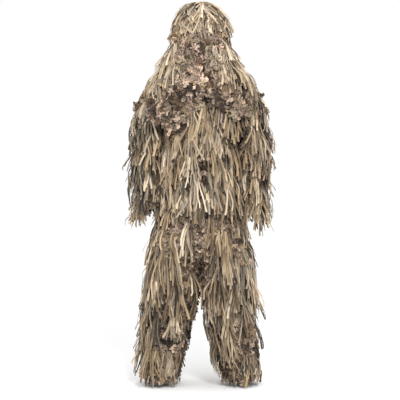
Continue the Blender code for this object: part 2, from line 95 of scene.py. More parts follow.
# Strips: their sizes, and their painted shade, lighter where other strips don't shade them.
STRIP_WIDTH = (0.0062, 0.0100)
STRIP_STEPS = 8
SHORTEST_STRIP = 0.03
RAGGED_ENDS = 0.06                # strips near the ground end up to this much above LOWEST
ROOT_TO_TIP_PAINTED_SHADE = ((0, 0.35, 1), (0.38, 0.86, 1.08))
INNER_TO_OUTER_PAINTED_SHADE = (0.30, 1.18)
OWN_SHARE, KNOT_SHARE = 0.55, 0.45    # of a strip's colour: its own, and its tuft's
KNOT_OFF, KNOT_WIDTH = 0.003, 0.010   # a knot off the cloth, and strips sideways from its middle
WANDER, KINK, KEPT = 0.05, 0.035, 0.8     # a strip's sideways drift: first, added and kept per step
WAVE = 0.0014                     # how far a strip waves sideways at its tip

# Leaves: shortest and longest, half widths along one as shares of its length, and brightness.
NET_LEAF, TROUSER_LEAF = (0.040, 0.072), (0.026, 0.044)
LOBES = (0.10, 0.42, 0.16, 0.46, 0.17, 0.36, 0.13, 0.22, 0.04)
# Painted shade: leaves darker towards the stem.
STEM_TO_TIP_PAINTED_SHADE = ((0, 0.4, 1), (0.50, 0.92, 1.04))
LEAF_BRIGHTNESS = 0.88
CURL = 0.22                       # how far a leaf's tip curls, as a share of its length
# Painted shade: the leaves that strips lie over are darkened by these.
TROUSER_PAINTED_SHADE, JACKET_PAINTED_SHADE = 0.85, 0.6    # brightness of the leaves that strips lie over
BLOTCH, BLOTCH_SEED = 0.045, 3


# ---------------------------------------------------------------- numbers
def linear(colour):
    c = np.asarray(colour, float)
    return np.where(c <= 0.04045, c / 12.92, ((c + 0.055) / 1.055) ** 2.4)


def unit(v):
    return v / np.maximum(np.linalg.norm(v, axis=-1, keepdims=True), 1e-9)


def picked(mix, count):
    """count linear colours drawn from a mix, each a little lighter or darker."""
    weights = np.array([w for _, w in mix], float)
    which = rng.choice(len(mix), count, p=weights / weights.sum())
    colours = linear([c for c, _ in mix])[which]
    return colours * rng.uniform(0.82, 1.16, (count, 1))


def wave_noise(points, size, seed):
    """Smooth noise from about -1 to 1, with features of about that size."""
    octaves, waves, finer, weaker = 3, 6, 1.9, 1.7
    made = np.random.default_rng(seed)
    total = np.zeros(len(points))
    for octave in range(octaves):
        for _ in range(waves):
            way = unit(made.normal(size=3)) * (2 * math.pi / size)
            way = way * finer**octave * made.uniform(0.7, 1.3)
            total += np.sin(points @ way + made.uniform(0, 7)) / weaker**octave
    return total / 5.0


def camo_tones(points):
    """A leaf's colour from where it lies, so that neighbours make blotches."""
    level = wave_noise(points, BLOTCH, BLOTCH_SEED) * 0.35 + rng.normal(0, 0.55, len(points))
    order = linear(LEAF_TONES)
    which = np.clip(((level + 1.0) * 0.5 * len(order)).astype(int), 0, len(order) - 1)
    return order[which] * rng.uniform(0.85, 1.15, (len(points), 1))


# ---------------------------------------------------------------- garment tubes
class Tube:
    """Elliptical sections (height, x, y, half width, half depth), from the top down."""

    def __init__(self, *rows):
        self.rows = np.array(rows, float)
        self.rows[:, 0] -= WAIST

    def mirrored(self):
        other = Tube(*self.rows)
        other.rows = self.rows * np.array([1, -1, 1, 1, 1])
        return other

    def side(self, name):
        return self if SIDES[name] > 0 else self.mirrored()

    def section(self, z):
        heights = self.rows[::-1, 0]
        return [np.interp(z, heights, self.rows[::-1, i]) for i in range(1, 5)]

    def point(self, angle, z, out=0.0):
        """Points at angles and at heights in the row frame, some way off the surface."""
        x, y, rx, ry = self.section(z)
        turn = np.radians(angle)
        across, ahead = x + (rx + out) * np.sin(turn), y - (ry + out) * np.cos(turn)
        return np.stack([across, ahead, z + 0 * turn], -1)

    def normal(self, points):
        x, y, rx, ry = self.section(points[..., 2])
        flat = np.stack([(points[..., 0] - x) / np.maximum(rx, 0.01) ** 2,
                         (points[..., 1] - y) / np.maximum(ry, 0.01) ** 2, 0 * x], -1)
        return unit(flat)

    def combed(self, angle, along, lift):
        """Points at a distance along the profile from the top, at an angle, lifted off the surface.

        A distance below zero is on the far side of the top.
        """
        angle, along = angle + 180 * (along < 0), np.abs(along)
        z, x, y, rx, ry = self.rows.T
        steps = np.hypot(np.diff(z), np.diff((rx + ry) / 2))
        far = np.concatenate([[0], np.cumsum(steps)])
        x, y, rx, ry, z = (np.interp(along, far, column) for column in (x, y, rx, ry, z))
        turn = np.radians(angle)
        slope = np.interp(along, far, np.gradient((self.rows[:, 3] + self.rows[:, 4]) / 2, far))
        flat = np.sqrt(np.clip(1 - slope**2, 0, 1))
        return np.stack([x + (rx + lift * flat) * np.sin(turn),
                         y - (ry + lift * flat) * np.cos(turn), z + lift * slope], -1)

    def moved(self, points, grown, factor):
        """Scales points about the tube's middle line by factor(share).

        share is how far out a point is, and is 1 on the surface of the tube grown by that much.
        """
        x, y, rx, ry = self.section(points[..., 2])
        dx, dy = points[..., 0] - x, points[..., 1] - y
        by = factor(np.sqrt((dx / (rx + grown)) ** 2 + (dy / (ry + grown)) ** 2))
        out = points.copy()
        out[..., 0], out[..., 1] = x + dx * by, y + dy * by
        return out

    def keep_out(self, points, clearance):
        """Moves points that are inside the tube out to its surface."""
        def factor(share):
            return np.where(share < 1, 1 / np.maximum(share, 0.05), 1.0)
        return self.moved(points, clearance, factor)

    def keep_in(self, points, reach):
        """Moves points further than reach off the tube three quarters of the way back to it."""
        def factor(share):
            return np.where(share > 1, (1 + 0.25 * (share - 1)) / np.maximum(share, 1), 1.0)
        return self.moved(points, reach, factor)


TORSO = Tube(
    (1.520, 0, 0, 0.080, 0.085), (1.490, 0, 0, 0.112, 0.102), (1.465, 0, 0, 0.158, 0.126),
    (1.430, 0, 0, 0.172, 0.137), (1.200, 0, 0, 0.168, 0.138), (0.950, 0, 0, 0.168, 0.140),
    (0.890, 0, 0, 0.172, 0.142), (0.780, 0, 0, 0.198, 0.160))
ARM = Tube(
    (1.484, 0.1920, 0, 0.020, 0.020), (1.470, 0.2020, 0, 0.034, 0.034),
    (1.430, 0.2160, 0, 0.046, 0.050), (1.390, 0.2250, 0, 0.052, 0.055),
    (1.340, 0.2320, 0, 0.057, 0.058), (1.300, 0.2355, 0, 0.060, 0.060),
    (1.160, 0.2405, 0, 0.056, 0.056), (1.045, 0.2380, 0, 0.053, 0.053),
    (0.930, 0.2345, 0, 0.050, 0.050), (0.700, 0.2400, 0, 0.052, 0.052))
LEG = Tube(
    (0.860, 0.090, 0, 0.086, 0.128), (0.790, 0.098, 0, 0.094, 0.134),
    (0.700, 0.112, 0, 0.106, 0.130), (0.600, 0.119, 0, 0.110, 0.122),
    (0.500, 0.126, 0, 0.108, 0.113), (0.430, 0.136, 0, 0.104, 0.108),
    (0.350, 0.152, 0, 0.094, 0.103), (0.210, 0.172, 0, 0.083, 0.094),
    (0.125, 0.188, 0, 0.070, 0.084), (0.060, 0.190, 0, 0.070, 0.086))
SEAT = Tube(
    (1.010, 0, 0, 0.148, 0.118), (0.900, 0, 0, 0.156, 0.128), (0.830, 0, 0, 0.182, 0.142),
    (0.770, 0, 0, 0.196, 0.140), (0.680, 0, 0, 0.200, 0.126))
HOOD = Tube(
    (1.825, 0, 0.005, 0.004, 0.004), (1.816, 0, 0.005, 0.044, 0.052),
    (1.788, 0, 0.005, 0.078, 0.092), (1.740, 0, 0.005, 0.100, 0.118),
    (1.660, 0, 0.005, 0.112, 0.129), (1.600, 0, 0.005, 0.144, 0.134),
    (1.560, 0, 0.005, 0.177, 0.140), (1.500, 0, 0.005, 0.218, 0.150),
    (1.440, 0, 0.005, 0.250, 0.160))
CROWN = Tube(
    (1.866, 0, 0.005, 0.004, 0.004), (1.860, 0, 0.005, 0.040, 0.046),
    (1.846, 0, 0.005, 0.070, 0.080), (1.820, 0, 0.005, 0.098, 0.110),
    (1.780, 0, 0.005, 0.122, 0.134), (1.720, 0, 0.005, 0.134, 0.146),
    (1.660, 0, 0.005, 0.140, 0.152))
NECK = Tube((1.600, 0, 0.005, 0.110, 0.125), (1.495, 0, 0, 0.110, 0.104))
VEIL = Tube(
    (1.705, 0, 0.005, 0.112, 0.140), (1.640, 0, 0.005, 0.128, 0.156),
    (1.560, 0, 0.005, 0.150, 0.172), (1.480, 0, 0.005, 0.176, 0.190),
    (1.440, 0, 0.005, 0.186, 0.196))
MANTLE = Tube(
    (1.540, 0, 0, 0.098, 0.104), (1.505, 0, 0, 0.150, 0.140), (1.460, 0, 0, 0.200, 0.158),
    (1.400, 0, 0, 0.240, 0.166), (1.300, 0, 0, 0.262, 0.170))


# ---------------------------------------------------------------- meshes
def add_mesh(name, points, faces, material, tones=None, uv=None, smooth=True):
    """Makes a mesh piece. tones has a linear colour for each point, uv a pair for each corner."""
    mesh = bpy.data.meshes.new(name)
    faces = np.asarray(faces)
    mesh.vertices.add(len(points))
    mesh.vertices.foreach_set("co", np.ascontiguousarray(points, np.float32).ravel())
    mesh.loops.add(faces.size)
    mesh.loops.foreach_set("vertex_index", faces.ravel().astype(np.int32))
    mesh.polygons.add(len(faces))
    starts = np.arange(0, faces.size, faces.shape[1], dtype=np.int32)
    mesh.polygons.foreach_set("loop_start", starts)
    mesh.polygons.foreach_set("use_smooth", np.full(len(faces), smooth))
    mesh.update(calc_edges=True)
    rest = mesh.attributes.new("rest", "FLOAT_VECTOR", "POINT")
    rest.data.foreach_set("vector", np.ascontiguousarray(points, np.float32).ravel())
    if tones is not None:
        tone = mesh.color_attributes.new("tone", "FLOAT_COLOR", "POINT")
        rgba = np.ones((len(points), 4), np.float32)
        rgba[:, :3] = tones
        tone.data.foreach_set("color", rgba.ravel())
    if uv is not None:
        layer = mesh.uv_layers.new(name="OFBake")
        layer.data.foreach_set("uv", np.ascontiguousarray(uv, np.float32).ravel())
    mesh.materials.append(material)
    mesh.validate()
    piece = bpy.data.objects.new(name, mesh)
    bpy.context.scene.collection.objects.link(piece)
    return piece


def grid_faces(rows, columns, wraps=False):
    """Quads of a grid of points stored row by row."""
    count = columns if wraps else columns - 1
    i = np.arange(rows - 1)[:, None] * columns
    j = np.arange(count)[None, :]
    k = (j + 1) % columns
    return np.stack([i + j, i + columns + j, i + columns + k, i + k], -1).reshape(-1, 4)


def ribbon_uv(count, steps):
    """Places for the points of count ribbons, each ribbon in a cell of its own."""
    columns = max(1, int(math.sqrt(count / 4)))
    lines = math.ceil(count / columns)
    cell = np.arange(count)
    u0, v0 = (cell % columns) / columns, (cell // columns) / lines
    ku = np.arange(steps) / (steps - 1) * 0.9 + 0.05
    kv = np.array([0.1, 0.5, 0.9])
    u = (u0[:, None, None] + (ku / columns)[None, :, None] + 0 * kv).reshape(-1)
    v = (v0[:, None, None] + (kv / lines)[None, None, :] + 0 * ku[None, :, None]).reshape(-1)
    return np.stack([u, v], -1)


def ribbons(name, paths, widths, twist, outward, tones, material, fold):
    """Cloth strips along paths (count, steps, 3), with widths (count, steps, 2) to each side.

    The middle line of each is raised by fold times its width, so that its two faces catch the light
    differently.
    """
    count, steps, _ = paths.shape
    along = unit(np.gradient(paths, axis=1))
    out = unit(outward - np.sum(outward * along, -1, keepdims=True) * along)
    across = np.cross(along, out)
    c, s = np.cos(twist)[..., None], np.sin(twist)[..., None]
    side, up = across * c + out * s, out * c - across * s
    left = paths + side * widths[..., :1]
    right = paths - side * widths[..., 1:]
    middle = paths + up * fold * widths.mean(-1, keepdims=True)
    points = np.stack([left, middle, right], 2).reshape(-1, 3)
    base = (np.arange(count) * steps * 3)[:, None, None]
    first = base + (np.arange(steps - 1) * 3)[None, :, None] + np.arange(2)[None, None, :]
    faces = np.stack([first, first + 3, first + 4, first + 1], -1).reshape(-1, 4)
    uv = ribbon_uv(count, steps)[faces.ravel()]
    return add_mesh(name, points, faces, material, np.repeat(tones.reshape(-1, 3), 3, axis=0), uv)


# ---------------------------------------------------------------- strips
def hang(roots, heads, lengths, guard, lift, reach, limp):
    """Paths of strips that leave their roots along heads, sag, and lie over the guard tube.

    lift is how far off the guard each lies, reach how far it may stand, and limp how soon it turns
    down.
    """
    count = len(roots)
    longest = roots[:, 2] - LOWEST - RAGGED_ENDS * rng.random(count)
    lengths = np.clip(lengths, SHORTEST_STRIP, longest)
    path, point, way = [roots], roots, unit(heads)
    stride = (lengths / STRIP_STEPS)[:, None]
    drift = rng.normal(0, WANDER, (count, 3))
    for k in range(STRIP_STEPS):
        drift = drift * KEPT + rng.normal(0, KINK, (count, 3))
        way = unit(way * (1 - limp) + DOWN * limp + drift)
        point = guard.keep_out(point + way * stride, lift * min(1.0, (k + 1) / 3))
        point = guard.keep_in(point, reach)
        path.append(point)
        way = unit(point - path[-2])
    return np.stack(path, 1)


def strip_piece(name, paths, guard, tones, lift):
    """Ribbons with square-cut ends, with painted shade at the root where other strips shade them."""
    count, steps, _ = paths.shape
    half = rng.uniform(*STRIP_WIDTH, count) / 2
    t = np.linspace(0, 1, steps)
    shape = np.interp(t, [0, 0.15, 1], [0.6, 1, 1])
    uneven = rng.uniform(0.85, 1.15, (count, steps, 2))
    widths = half[:, None, None] * shape[None, :, None] * uneven
    twist = rng.normal(0, 0.3, (count, 1)) + rng.normal(0, 0.6, (count, 1)) * t
    outward = guard.normal(paths)
    phase, turns = rng.uniform(0, 7, (count, 1)), rng.uniform(1.0, 3.0, (count, 1))
    wave = WAVE * t * np.sin(phase + turns * 2 * math.pi * t)
    paths = paths + np.cross(DOWN, outward) * wave[..., None]
    # Painted shade: the strips that lie lowest darkest, the highest lightest, each darker at its
    # root.
    depth = np.interp(lift, [lift.min(), lift.max()], INNER_TO_OUTER_PAINTED_SHADE)[:, None, None]
    shade = np.interp(t, *ROOT_TO_TIP_PAINTED_SHADE)[None, :, None]
    shade = shade * depth * rng.uniform(0.94, 1.06, (count, steps, 1))
    colours = np.clip(tones[:, None, :] * shade, 0, 1)
    return ribbons(name, paths, widths, twist, outward, colours, STRIPS, fold=0.35)


def rows_of_tufts(arc, heights, spacing, guard):
    """Staggered angles and heights of tufts along rows round the guard."""
    jitter = 0.35
    angles, levels = [], []
    for i, height in enumerate(heights):
        _, _, rx, ry = guard.section(height - WAIST)
        around = math.radians(arc[1] - arc[0]) * (rx + ry) / 2
        count = max(2, round(around / spacing))
        step = (arc[1] - arc[0]) / count
        start = arc[0] + step * (0.25 + 0.5 * (i % 2))
        places = start + step * (np.arange(count) + rng.uniform(-jitter, jitter, count))
        angles.append(np.clip(places, arc[0], arc[1]))
        levels.append(height + rng.normal(0, 0.012, count))
    return np.concatenate(angles), np.concatenate(levels)


def tuft_strips(name, guard, arc, heights, *, spacing, per, length, mix, lift=(0.004, 0.030),
                fan=0.30, out=(0.1, 0.6), reach=0.050, limp=0.16, keep=None, paint=None):
    """Rows of tufts: each is a bundle of strips from one knot, which fans out and hangs down.

    spacing is between knots, and per is how many strips each has. fan is how far strips lean
    sideways, and out how far the inner and outer ones lean off the cloth. lift, reach and limp are
    those of hang. keep says which knots stay, and paint gives their colours a last change.
    """
    angles, levels = rows_of_tufts(arc, heights, spacing, guard)
    knots = guard.point(angles, levels - WAIST, KNOT_OFF)
    if keep is not None:
        knots = knots[keep(knots)]
    which = np.repeat(np.arange(len(knots)), per)
    count = len(which)
    lift_share = rng.random(count)
    normals = guard.normal(knots)[which]
    sideways = np.cross(DOWN, normals)
    spread = rng.uniform(-1, 1, (count, 1))
    spread = spread * np.abs(spread) ** 0.3
    roots = knots[which] + sideways * spread * KNOT_WIDTH + rng.normal(0, 0.0035, (count, 3))
    lean = rng.normal(0, 0.10, (len(knots), 1))[which]
    away = out[0] + (out[1] - out[0]) * lift_share[:, None]
    heads = DOWN + sideways * (spread * fan + lean) + normals * away
    bulk = rng.uniform(0.72, 1.15, len(knots))[which]
    reach = reach * rng.uniform(0.45, 1.25, len(knots))[which] * rng.uniform(0.8, 1.2, count)
    lengths = rng.uniform(length[0], length[1], count) * bulk * (1 - 0.12 * spread[:, 0] ** 2)
    lifts = lift[0] + (lift[1] - lift[0]) * lift_share
    paths = hang(roots, heads, lengths, guard, lifts, reach, limp)
    shared = picked(mix, len(knots))
    if paint is not None:
        shared = paint(knots, shared)
    tones = picked(mix, count) * OWN_SHARE + shared[which] * KNOT_SHARE
    return strip_piece(name, paths, guard, tones, lifts)


def combed_strips(name, tube, bundles, per, *, start, length, lift):
    """Bundles of strips laid down a dome like thatch, each lifting off it towards its end."""
    which = np.repeat(np.arange(bundles), per)
    count = len(which)
    t = np.linspace(0, 1, STRIP_STEPS + 1)
    spread = rng.uniform(-1, 1, count)
    first = rng.uniform(start[0], start[1], bundles)[which] + rng.uniform(0, 0.012, count)
    along = first[:, None] + rng.uniform(length[0], length[1], count)[:, None] * t
    around = rng.uniform(*ALL_ROUND, bundles)[which] + spread * 11
    swerve = rng.normal(0, 14, (bundles, 1))[which] + spread[:, None] * 10
    swerve = (swerve + rng.normal(0, 6, (count, 1))) * t
    lifts = rng.uniform(lift[0], lift[1], count)
    rise = lifts[:, None] * np.interp(t, [0, 0.3, 1], [0.2, 0.7, 1.2])
    paths = tube.combed(around[:, None] + swerve, along, rise)
    tones = picked(HOOD_MIX, count) * OWN_SHARE + picked(HOOD_MIX, bundles)[which] * KNOT_SHARE
    return strip_piece(name, paths, tube, tones, lifts)


# ---------------------------------------------------------------- leaves
def leaf_piece(name, roots, normals, size, lie=0.14, brightness=1.0):
    """Leaves cut from camouflage cloth, each with a lobed outline, leaning off the cloth by lie."""
    count, steps = len(roots), len(LOBES)
    sideways = np.cross(DOWN, normals)
    roll = rng.normal(0, 0.9, (count, 1))
    lean = rng.normal(lie, 0.10, (count, 1))
    heads = unit(DOWN * np.cos(roll) + sideways * np.sin(roll) + normals * lean)
    lengths = rng.uniform(size[0], size[1], count)
    curl = unit(normals * rng.normal(0.1, 0.5, (count, 1)) + rng.normal(0, 0.4, (count, 3)))
    t = np.linspace(0, 1, steps)
    paths = (roots[:, None] + heads[:, None] * (lengths[:, None] * t)[..., None]
             + curl[:, None] * (lengths[:, None] * CURL * t**2)[..., None])
    uneven = rng.uniform(0.45, 1.35, (count, steps, 2))
    widths = lengths[:, None, None] * np.array(LOBES)[None, :, None] * uneven
    twist = rng.normal(0, 0.18, (count, 1)) + rng.normal(0, 0.28, (count, 1)) * t
    outward = np.repeat(normals[:, None], steps, axis=1)
    # Painted shade: each leaf darker towards its stem; it is also lighter or darker at random.
    shade = np.interp(t, *STEM_TO_TIP_PAINTED_SHADE)[None, :, None] * rng.uniform(0.36, 1.4, (count, 1, 1))
    # brightness is a change of tone, or painted shade for the leaves that strips lie over.
    shade = shade * brightness * LEAF_BRIGHTNESS
    tones = np.clip(camo_tones(roots)[:, None] * shade, 0, 1)
    return ribbons(name, paths, widths, twist, outward, tones, LEAVES, fold=0.2)


def scatter(guard, arc, span, count, out=0.004):
    """Random roots over an arc of a tube, between two heights, with the normals there."""
    angles = rng.uniform(arc[0], arc[1], count)
    heights = rng.uniform(span[1], span[0], count) - WAIST
    roots = guard.point(angles, heights, out + rng.uniform(0, 0.006, count))
    return roots, guard.normal(roots)


# ---------------------------------------------------------------- cloth
def cloth_tube(name, tube, arc, span, material, *, rows, columns=72, fold=0.006, seed):
    """Garment cloth with hanging folds, round a tube between two heights.

    It closes on itself where no arc is given.
    """
    wave, squash = 0.07, 0.45    # the folds' size across, and what makes them longer downwards
    wraps = arc is None
    angles = np.linspace(0, 360, columns, endpoint=False) if wraps else np.linspace(*arc, columns)
    heights = np.linspace(span[0], span[1], rows) - WAIST
    a, z = np.meshgrid(angles, heights)
    points = tube.point(a.ravel(), z.ravel())
    normals = tube.normal(points)
    depth = wave_noise(points * np.array([1, 1, squash]), wave, seed) * fold
    depth = depth + wave_noise(points, wave * 0.4, seed + 9) * fold * 0.35
    points = points + normals * depth[:, None]
    return add_mesh(name, points, grid_faces(rows, columns, wraps), material)


def gathered_band(name, node, pleats, depth=0.0035):
    """A band of cloth gathered by the elastic inside it, over a CAD band."""
    rows, past, bulge = 9, 0.004, 0.006
    low, high = (np.array(corner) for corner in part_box(node))
    centre, half = (low + high) / 2, (high - low) / 2
    columns = pleats * 4
    turn = np.linspace(0, 2 * math.pi, columns, endpoint=False)
    height = np.linspace(high[2] + past, low[2] - past, rows)
    belly = np.sin(np.linspace(0, math.pi, rows)) * bulge
    circle = np.stack([np.cos(turn), np.sin(turn), 0 * turn], -1)
    wobble = wave_noise(circle, 0.6, pleats) * 1.5
    slant = 0.3 * np.sin(np.arange(rows))[:, None]
    ripple = depth * np.sin(turn[None] * pleats + wobble[None] + slant)
    rx, ry = half[0] + belly[:, None] + ripple, half[1] + belly[:, None] + ripple
    points = np.stack([centre[0] + rx * np.sin(turn), centre[1] - ry * np.cos(turn),
                       height[:, None] + 0 * ripple], -1).reshape(-1, 3)
    return add_mesh(name, points, grid_faces(rows, columns, True), CAMO)


# ---------------------------------------------------------------- materials
class Nodes:
    """A short way to build a material's nodes."""

    def __init__(self, name, roughness=0.9):
        self.material = bpy.data.materials.new(name)
        self.material.use_nodes = True
        self.tree = self.material.node_tree
        self.shader = self.tree.nodes["Principled BSDF"]
        self.shader.inputs["Roughness"].default_value = roughness

    def add(self, kind, **inputs):
        """A node with its inputs set or linked, by name or, as _0 is, by number."""
        node = self.tree.nodes.new(kind)
        for name, value in inputs.items():
            numbered = name[1:].isdigit()
            socket = node.inputs[int(name[1:]) if numbered else name.replace("_", " ")]
            if hasattr(value, "is_linked"):
                self.tree.links.new(value, socket)
            else:
                socket.default_value = value
        return node

    def attribute(self, name, output):
        node = self.tree.nodes.new("ShaderNodeAttribute")
        node.attribute_name = name
        return node.outputs[output]

    def noise(self, where, scale, detail=2.0, **more):
        made = self.add("ShaderNodeTexNoise", Vector=where, Scale=scale, Detail=detail, **more)
        return made.outputs["Fac"]

    def squares(self, where, scale):
        """Cells with straight edges, like the blocks of a digital print."""
        node = self.add("ShaderNodeTexVoronoi", Vector=where, Scale=scale)
        node.distance = "CHEBYCHEV"
        return node

    def math(self, operation, a, b):
        node = self.add("ShaderNodeMath", _0=a, _1=b)
        node.operation = operation
        return node.outputs[0]

    def ramp(self, factor, stops, constant=False):
        node = self.add("ShaderNodeValToRGB", Fac=factor)
        ramp = node.color_ramp
        ramp.interpolation = "CONSTANT" if constant else "LINEAR"
        while len(ramp.elements) < len(stops):
            ramp.elements.new(0.5)
        for element, (place, colour) in zip(ramp.elements, stops):
            element.position = place
            element.color = (*linear(colour), 1)
        return node.outputs[0]

    def multiply(self, colour, by):
        node = self.tree.nodes.new("ShaderNodeMix")
        node.data_type, node.blend_type = "RGBA", "MULTIPLY"
        factor, first, second = node.inputs[0], node.inputs[6], node.inputs[7]
        factor.default_value = 1.0
        self.tree.links.new(colour, first)
        self.tree.links.new(by, second)
        return node.outputs[2]

    def bump(self, height, strength):
        node = self.add("ShaderNodeBump", Strength=strength, Distance=0.001, Height=height)
        self.tree.links.new(node.outputs[0], self.shader.inputs["Normal"])

    def base(self, colour):
        self.tree.links.new(colour, self.shader.inputs["Base Color"])


def strip_material():
    """Frayed cloth strips: a coarse thread grain, and lighter worn patches."""
    n = Nodes("cloth_strip_look")
    rest = n.attribute("rest", "Vector")
    grain, patches = n.noise(rest, 420.0, 3.0), n.noise(rest, 38.0)
    mixed = n.math("ADD", n.math("MULTIPLY", grain, 0.5), n.math("MULTIPLY", patches, 0.5))
    shade = n.ramp(mixed, ((0.3, (0.72, 0.70, 0.68)), (0.7, (1.0, 1.0, 1.0))))
    n.base(n.multiply(n.attribute("tone", "Color"), shade))
    n.bump(grain, 0.5)
    n.shader.inputs["Sheen Weight"].default_value = 0.15
    return n.material


def leaf_material():
    """Printed leaf-cut cloth: the leaf's own colour, with small darker and lighter squares."""
    n = Nodes("leaf_net_look", 0.88)
    rest = n.attribute("rest", "Vector")
    print_cells = n.squares(rest, 150.0)
    weave = n.noise(rest, 600.0)
    grey = n.add("ShaderNodeSeparateColor", Color=print_cells.outputs["Color"]).outputs[0]
    stops = ((0.0, (0.62, 0.58, 0.55)), (0.3, (0.86, 0.84, 0.82)), (0.55, (1.0, 1.0, 1.0)))
    n.base(n.multiply(n.attribute("tone", "Color"), n.ramp(grey, stops, constant=True)))
    n.bump(weave, 0.35)
    return n.material


def camo_material(name, brightness=1.0):
    """Brushed shell cloth with a blocky digital print in khaki, tan, brown and bark."""
    n = Nodes(name, 0.92)
    rest = n.attribute("rest", "Vector")
    blocks = n.squares(rest, 160.0).outputs["Position"]
    large = n.noise(blocks, 24.0, 3.0, Roughness=0.65)
    stops = [(place, tuple(c * brightness for c in tone)) for place, tone in PRINT_STOPS]
    colour = n.ramp(large, stops, constant=True)
    weave = n.noise(rest, 700.0)
    n.base(n.multiply(colour, n.ramp(weave, ((0.3, (0.7, 0.7, 0.7)), (0.7, (1.0, 1.0, 1.0))))))
    n.bump(weave, 0.4)
    return n.material


def plain_material(name, colour, roughness, metallic=0.0, scale=900.0):
    """Small hardware and tape: one colour with a fine grain."""
    n = Nodes(name, roughness)
    where = n.tree.nodes.new("ShaderNodeTexCoord").outputs["Object"]
    grain = n.noise(where, scale)
    darker = tuple(c * 0.7 for c in colour)
    n.base(n.ramp(grain, ((0.35, darker), (0.65, colour))))
    n.bump(grain, 0.3)
    n.shader.inputs["Metallic"].default_value = metallic
    return n.material


# The nets are the print at 0.55 brightness: partly their own darker colour, partly painted shade of
# the gaps between leaves.
CAMO, DARK_NET_AND_GAP_SHADE = camo_material("camo_cloth_look"), camo_material("dark_net_and_gap_shade_look", 0.55)
LEAVES, STRIPS = leaf_material(), strip_material()
FINISHES = {
    "zip_tape": plain_material("zip_tape_look", (0.30, 0.25, 0.20), 0.9),
    "zip_metal": plain_material("zip_metal_look", (0.42, 0.37, 0.30), 0.38, metallic=0.9),
    "webbing": plain_material("webbing_look", (0.36, 0.32, 0.24), 0.9, scale=500.0),
    "elastic": plain_material("elastic_look", (0.22, 0.21, 0.19), 0.8, scale=700.0),
}
for subpart in frame["record"]["subparts"]:
    if subpart["material_slot"] in FINISHES:
        for material_slot in frame["nodes"][subpart["node"]].material_slots:
            material_slot.material = FINISHES[subpart["material_slot"]]


# ---------------------------------------------------------------- bodies and bends of pieces
def finish_piece(piece, body=None, bend=None, stands_for=()):
    """Parents a piece to its body, or bakes it in place if bent; hides the CAD nodes it stands for.
    """
    if bend:
        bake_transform(piece)
    else:
        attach(piece, body)
    if stands_for:
        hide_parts(*stands_for)
    return piece


def bend_between(body, next_body, start, end):
    (x0, height0), (x1, height1) = start, end
    return body, next_body, (x0, 0, height0 - WAIST), (x1, 0, height1 - WAIST)


def shoulder_bend(side):
    k = SIDES[side]
    return bend_between("jacket", "upper_arm_" + side, (k * 0.150, 1.450), (k * 0.215, 1.360))


def elbow_bend(side):
    x = SIDES[side] * 0.24
    return bend_between("upper_arm_" + side, "forearm_" + side, (x, 1.215), (x, 1.105))


def hip_bend(side):
    x = SIDES[side] * 0.097
    return bend_between("trousers", "thigh_leg_" + side, (x, 0.850), (x, 0.740))


def knee_bend(side):
    x = SIDES[side] * 0.14
    return bend_between("thigh_leg_" + side, "shin_leg_" + side, (x, 0.560), (x, 0.440))


def side_arc(arc, side):
    """An arc given for the wearer's left, on either side."""
    return arc if SIDES[side] > 0 else (-arc[1], -arc[0])


# ---------------------------------------------------------------- trousers
def patchy(knots):
    """Leaves out tufts in patches, where the leaves under them show."""
    return wave_noise(knots, 0.30, 17) + rng.normal(0, 0.15, len(knots)) > -0.34


def leg_tones(knots, tones):
    """Some dark tufts hang down the inner side of each thigh."""
    inner = (np.abs(knots[:, 0]) < 0.10) & (knots[:, 2] + WAIST < 0.80)
    dark = inner & (rng.random(len(knots)) < 0.5)
    return np.where(dark[:, None], linear(SLATE), tones)


def make_seat():
    seat = cloth_tube("seat_cloth", SEAT, None, (1.012, 0.775), CAMO, rows=36, columns=110, seed=11)
    finish_piece(seat, "trousers", stands_for=["trouser_seat"])
    waist = gathered_band("waist_gathers", "waist_band", pleats=70)
    finish_piece(waist, "trousers", stands_for=["waist_band"])
    for name, arc, span, count in (
        ("seat_leaves", ALL_ROUND, (0.90, 0.775), 620),
        ("front_leaves", (-42, 42), (0.78, 0.685), 330),
        ("rear_leaves", (138, 222), (0.78, 0.685), 330),
    ):
        roots, normals = scatter(SEAT, arc, span, count)
        leaves = leaf_piece(name, roots, normals, TROUSER_LEAF, lie=0.12, brightness=0.86)
        finish_piece(leaves, "trousers")
    make_crotch()


def make_crotch():
    """The panel that runs from the front, down between the legs, and up the back."""
    across, along, leaf_count = 17, 60, 420
    depth, low, rise = 0.146, 0.672, 0.150
    turn, x = np.linspace(-1, 1, along), np.linspace(-1, 1, across)
    y = depth * np.sin(turn * math.pi / 2)
    z = low + rise * np.abs(turn) ** 2.6
    wide = 0.055 + 0.05 * np.abs(turn) ** 2
    px = (x[None] * wide[:, None]).ravel()
    py = (y[:, None] * (1 - 0.10 * x[None] ** 2)).ravel()
    pz = (z[:, None] + 0.03 * x[None] ** 2).ravel() - WAIST
    points = np.stack([px, py, pz], -1)
    points[:, 2] += wave_noise(points, 0.05, 5) * 0.004
    panel = add_mesh("crotch_panel", points, grid_faces(along, across), CAMO)
    finish_piece(panel, "trousers")
    pick = rng.integers(0, len(points), leaf_count)
    roots = points[pick] + rng.normal(0, 0.005, (leaf_count, 3))
    normals = unit(np.stack([0.2 * roots[:, 0], roots[:, 1], -0.05 + 0 * roots[:, 0]], -1))
    leaves = leaf_piece("crotch_leaves", roots, normals, TROUSER_LEAF)
    finish_piece(leaves, "trousers")


